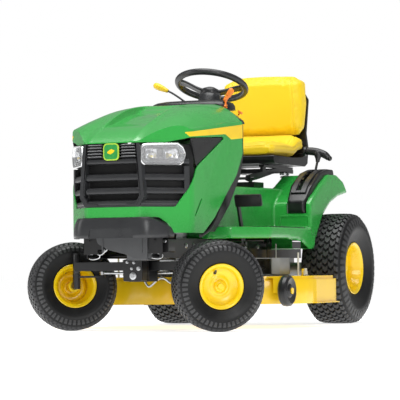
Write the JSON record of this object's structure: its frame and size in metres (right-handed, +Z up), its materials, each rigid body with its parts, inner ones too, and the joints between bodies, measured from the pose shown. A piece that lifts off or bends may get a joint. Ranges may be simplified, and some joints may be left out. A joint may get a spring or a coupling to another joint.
{
  "type": "riding lawn mower",
  "caption": "Ride-on lawn tractor with hinged hood, steered front axle, padded seat, belt-driven mowing deck with side discharge and lift lever.",
  "frame": {"origin": "centre of the overall box in X and Y, on the ground under the wheels", "axes": "+Z up, the mower drives toward -Y, +X is the operator's left"},
  "size_m": [1.273, 1.7959, 1.1551],
  "materials": {
    "frame_black": "satin black paint",
    "steel": "zinc plated",
    "grey_plastic": "fine textured dark grey",
    "frame_grey": "satin",
    "cast_alloy": "as cast",
    "black_plastic": "matte",
    "exhaust_steel": "dull",
    "tank_plastic": "moulded",
    "green_paint": "gloss",
    "belt_rubber": "matte",
    "badge_green": "gloss",
    "chrome_trim": "bright",
    "clear_lens": "clear",
    "grip_black": "soft grip",
    "seat_vinyl": "padded vinyl",
    "orange_plastic": "gloss",
    "yellow_plastic": "gloss",
    "yellow_paint": "gloss",
    "cover_steel": "satin grey",
    "blade_steel": "ground",
    "wheel_black": "hard plastic",
    "tyre": "turf tread",
    "yellow_rim": "gloss"
  },
  "bodies": {
    "chassis": {"frame": "frame_black", "pivot_pins": "steel", "bumper": "grey_plastic", "front_plate": "frame_grey", "engine_block": "cast_alloy", "engine_shroud": "black_plastic", "muffler": "exhaust_steel", "fuel_tank": "tank_plastic", "transaxle": "cast_alloy", "battery": "black_plastic", "pedestal": "black_plastic", "dash_panel": "grey_plastic", "fender_deck": "green_paint", "consoles": "grey_plastic", "seat_hinge": "frame_black", "deck_belt": "belt_rubber"},
    "crankshaft": {"crank_pulley": "steel"},
    "hood_assembly": {"hood": "green_paint", "side_vents": "black_plastic", "grille": "grey_plastic", "nose_badge": "badge_green", "headlamps": "chrome_trim", "headlamp_lenses": "clear_lens"},
    "front_axle": {"axle_beam": "frame_black"},
    "left_spindle": {"spindle_left": "frame_black"},
    "right_spindle": {"spindle_right": "frame_black"},
    "front_wheel_left": {"front_tyre_left": "tyre", "front_rim_left": "yellow_rim"},
    "front_wheel_right": {"front_tyre_right": "tyre", "front_rim_right": "yellow_rim"},
    "rear_wheel_left": {"rear_tyre_left": "tyre", "rear_rim_left": "yellow_rim"},
    "rear_wheel_right": {"rear_tyre_right": "tyre", "rear_rim_right": "yellow_rim"},
    "tie_rod_body": {"tie_rod": "steel"},
    "drag_link_body": {"drag_link": "steel"},
    "sector_gear": {"steering_sector": "steel"},
    "steering_column": {"steering_shaft": "steel", "steering_wheel": "grip_black"},
    "seat_base": {"seat_frame": "frame_black", "seat_springs": "steel"},
    "seat": {"seat_pan": "black_plastic", "seat_cushion": "seat_vinyl", "seat_back": "seat_vinyl"},
    "brake_pedal_body": {"brake_pedal": "frame_black"},
    "forward_pedal_body": {"forward_pedal": "frame_black"},
    "reverse_pedal_body": {"reverse_pedal": "frame_black"},
    "lift_lever_body": {"lift_lever": "frame_black"},
    "throttle": {"throttle_lever": "orange_plastic"},
    "blade_engage": {"blade_lever": "yellow_plastic"},
    "choke": {"choke_knob": "orange_plastic"},
    "key": {"ignition_key": "steel"},
    "mower_deck": {"deck_shell": "yellow_paint", "spindle_covers": "cover_steel", "lift_links": "frame_black"},
    "blade_left_body": {"blade_left": "blade_steel"},
    "blade_right_body": {"blade_right": "blade_steel"},
    "gauge_left": {"gauge_wheel_left": "wheel_black"},
    "gauge_right": {"gauge_wheel_right": "wheel_black"},
    "chute": {"discharge_chute": "black_plastic"}
  },
  "joints": [
    {"name": "hood_tilt", "type": "hinge", "parent": "chassis", "child": "hood_assembly", "pos_m": [0.0785, -0.858, 0.482], "axis": [1, 0, 0], "range_deg": [0, 60]},
    {"name": "axle_oscillation", "type": "hinge", "parent": "chassis", "child": "front_axle", "pos_m": [0.0785, -0.593, 0.268], "axis": [0, 1, 0], "range_deg": [-4, 4]},
    {"name": "left_steer", "type": "hinge", "parent": "front_axle", "child": "left_spindle", "pos_m": [0.3855, -0.593, 0.24], "axis": [0, 0, 1], "range_deg": [-1.5, 102.5]},
    {"name": "right_steer", "type": "hinge", "parent": "front_axle", "child": "right_spindle", "pos_m": [-0.2285, -0.593, 0.24], "axis": [0, 0, 1], "range_deg": [-1.5, 102.5]},
    {"name": "tie_rod_end", "type": "hinge", "parent": "right_spindle", "child": "tie_rod_body", "pos_m": [-0.14362, -0.52303, 0.24], "axis": [0, 0, 1], "range_deg": [-102.5, 1.5]},
    {"name": "drag_link_end", "type": "hinge", "parent": "left_spindle", "child": "drag_link_body", "pos_m": [0.29652, -0.55973, 0.206], "axis": [0, 0, 1], "range_deg": [-102.5, 1.5]},
    {"name": "sector_turn", "type": "hinge", "parent": "chassis", "child": "sector_gear", "pos_m": [0.0785, -0.241, 0.29], "axis": [0, 0, 1], "range_deg": [-1.5, 102.5]},
    {"name": "steering_wheel_turn", "type": "hinge", "parent": "chassis", "child": "steering_column", "pos_m": [0.0785, 0.138, 1.065], "axis": [0, 0.342, 0.9397], "range_deg": [-14.4, 984]},
    {"name": "front_left_spin", "type": "hinge", "parent": "left_spindle", "child": "front_wheel_left", "pos_m": [0.4402, -0.65936, 0.18569], "axis": [0.6349, -0.7702, -0.061], "continuous": true},
    {"name": "front_right_spin", "type": "hinge", "parent": "right_spindle", "child": "front_wheel_right", "pos_m": [-0.2832, -0.52664, 0.18569], "axis": [-0.6349, 0.7702, -0.061], "continuous": true},
    {"name": "rear_left_spin", "type": "hinge", "parent": "chassis", "child": "rear_wheel_left", "pos_m": [0.476, 0.65, 0.2495], "axis": [1, 0, 0], "continuous": true},
    {"name": "rear_right_spin", "type": "hinge", "parent": "chassis", "child": "rear_wheel_right", "pos_m": [-0.319, 0.65, 0.2495], "axis": [1, 0, 0], "continuous": true},
    {"name": "crankshaft_spin", "type": "hinge", "parent": "chassis", "child": "crankshaft", "pos_m": [0.0785, -0.46, 0.329], "axis": [0, 0, 1], "continuous": true},
    {"name": "seat_tilt", "type": "hinge", "parent": "chassis", "child": "seat_base", "pos_m": [0.0785, 0.255, 0.655], "axis": [1, 0, 0], "range_deg": [0, 45]},
    {"name": "seat_slide", "type": "slide", "parent": "seat_base", "child": "seat", "axis": [0, 1, 0], "range_m": [-0.06, 0.06]},
    {"name": "brake_press", "type": "hinge", "parent": "chassis", "child": "brake_pedal_body", "pos_m": [0.3565, -0.18, 0.36], "axis": [1, 0, 0], "range_deg": [0, 22], "stiffness_Nm_per_rad": 8, "springref_deg": -17.19},
    {"name": "forward_press", "type": "hinge", "parent": "chassis", "child": "forward_pedal_body", "pos_m": [-0.1925, -0.18, 0.36], "axis": [1, 0, 0], "range_deg": [0, 20], "stiffness_Nm_per_rad": 8, "springref_deg": -17.19},
    {"name": "reverse_press", "type": "hinge", "parent": "chassis", "child": "reverse_pedal_body", "pos_m": [-0.2115, -0.18, 0.36], "axis": [1, 0, 0], "range_deg": [0, 20], "stiffness_Nm_per_rad": 6, "springref_deg": -17.19},
    {"name": "lift_lever_swing", "type": "hinge", "parent": "chassis", "child": "lift_lever_body", "pos_m": [0.3885, 0.415, 0.385], "axis": [1, 0, 0], "range_deg": [-3.4, 29.6]},
    {"name": "throttle_swing", "type": "hinge", "parent": "chassis", "child": "throttle", "pos_m": [0.2515, -0.118, 0.95], "axis": [1, 0, 0], "range_deg": [-14, 10]},
    {"name": "blade_lever_swing", "type": "hinge", "parent": "chassis", "child": "blade_engage", "pos_m": [0.0545, -0.04, 0.962], "axis": [0, 1, 0], "range_deg": [-8, 18]},
    {"name": "choke_pull", "type": "slide", "parent": "chassis", "child": "choke", "axis": [0.5496, 0.0999, 0.8294], "range_m": [0, 0.025]},
    {"name": "key_turn", "type": "hinge", "parent": "chassis", "child": "key", "pos_m": [-0.0175, 0.044, 0.93], "axis": [0, 0.3987, 0.9171], "range_deg": [-30, 60]},
    {"name": "deck_lift", "type": "slide", "parent": "chassis", "child": "mower_deck", "axis": [0, 0, 1], "range_m": [-0.053, 0.006], "deforming": ["deck_belt"]},
    {"name": "blade_left_spin", "type": "hinge", "parent": "mower_deck", "child": "blade_left_body", "pos_m": [0.3365, -0.043, 0.11], "axis": [0, 0, 1], "continuous": true},
    {"name": "blade_right_spin", "type": "hinge", "parent": "mower_deck", "child": "blade_right_body", "pos_m": [-0.1795, -0.007, 0.11], "axis": [0, 0, 1], "continuous": true},
    {"name": "gauge_left_spin", "type": "hinge", "parent": "mower_deck", "child": "gauge_left", "pos_m": [0.5905, -0.282, 0.159], "axis": [1, 0, 0], "continuous": true},
    {"name": "gauge_right_spin", "type": "hinge", "parent": "mower_deck", "child": "gauge_right", "pos_m": [-0.4335, -0.282, 0.159], "axis": [1, 0, 0], "continuous": true},
    {"name": "chute_lift", "type": "hinge", "parent": "mower_deck", "child": "chute", "pos_m": [-0.4775, -0.03, 0.212], "axis": [0, 1, 0], "range_deg": [0, 75], "stiffness_Nm_per_rad": 0.6, "springref_deg": -17.19}
  ],
  "couplings": [
    {"joint": "right_steer", "follows": "left_steer", "ratio": 1},
    {"joint": "tie_rod_end", "follows": "left_steer", "ratio": -1},
    {"joint": "drag_link_end", "follows": "left_steer", "ratio": -1},
    {"joint": "sector_turn", "follows": "left_steer", "ratio": 1},
    {"joint": "steering_wheel_turn", "follows": "left_steer", "ratio": 9.6},
    {"joint": "lift_lever_swing", "follows": "deck_lift", "rad_per_m": -9.67},
    {"joint": "blade_left_spin", "follows": "crankshaft_spin", "ratio": 1.0388},
    {"joint": "blade_right_spin", "follows": "crankshaft_spin", "ratio": 1.0388}
  ]
}
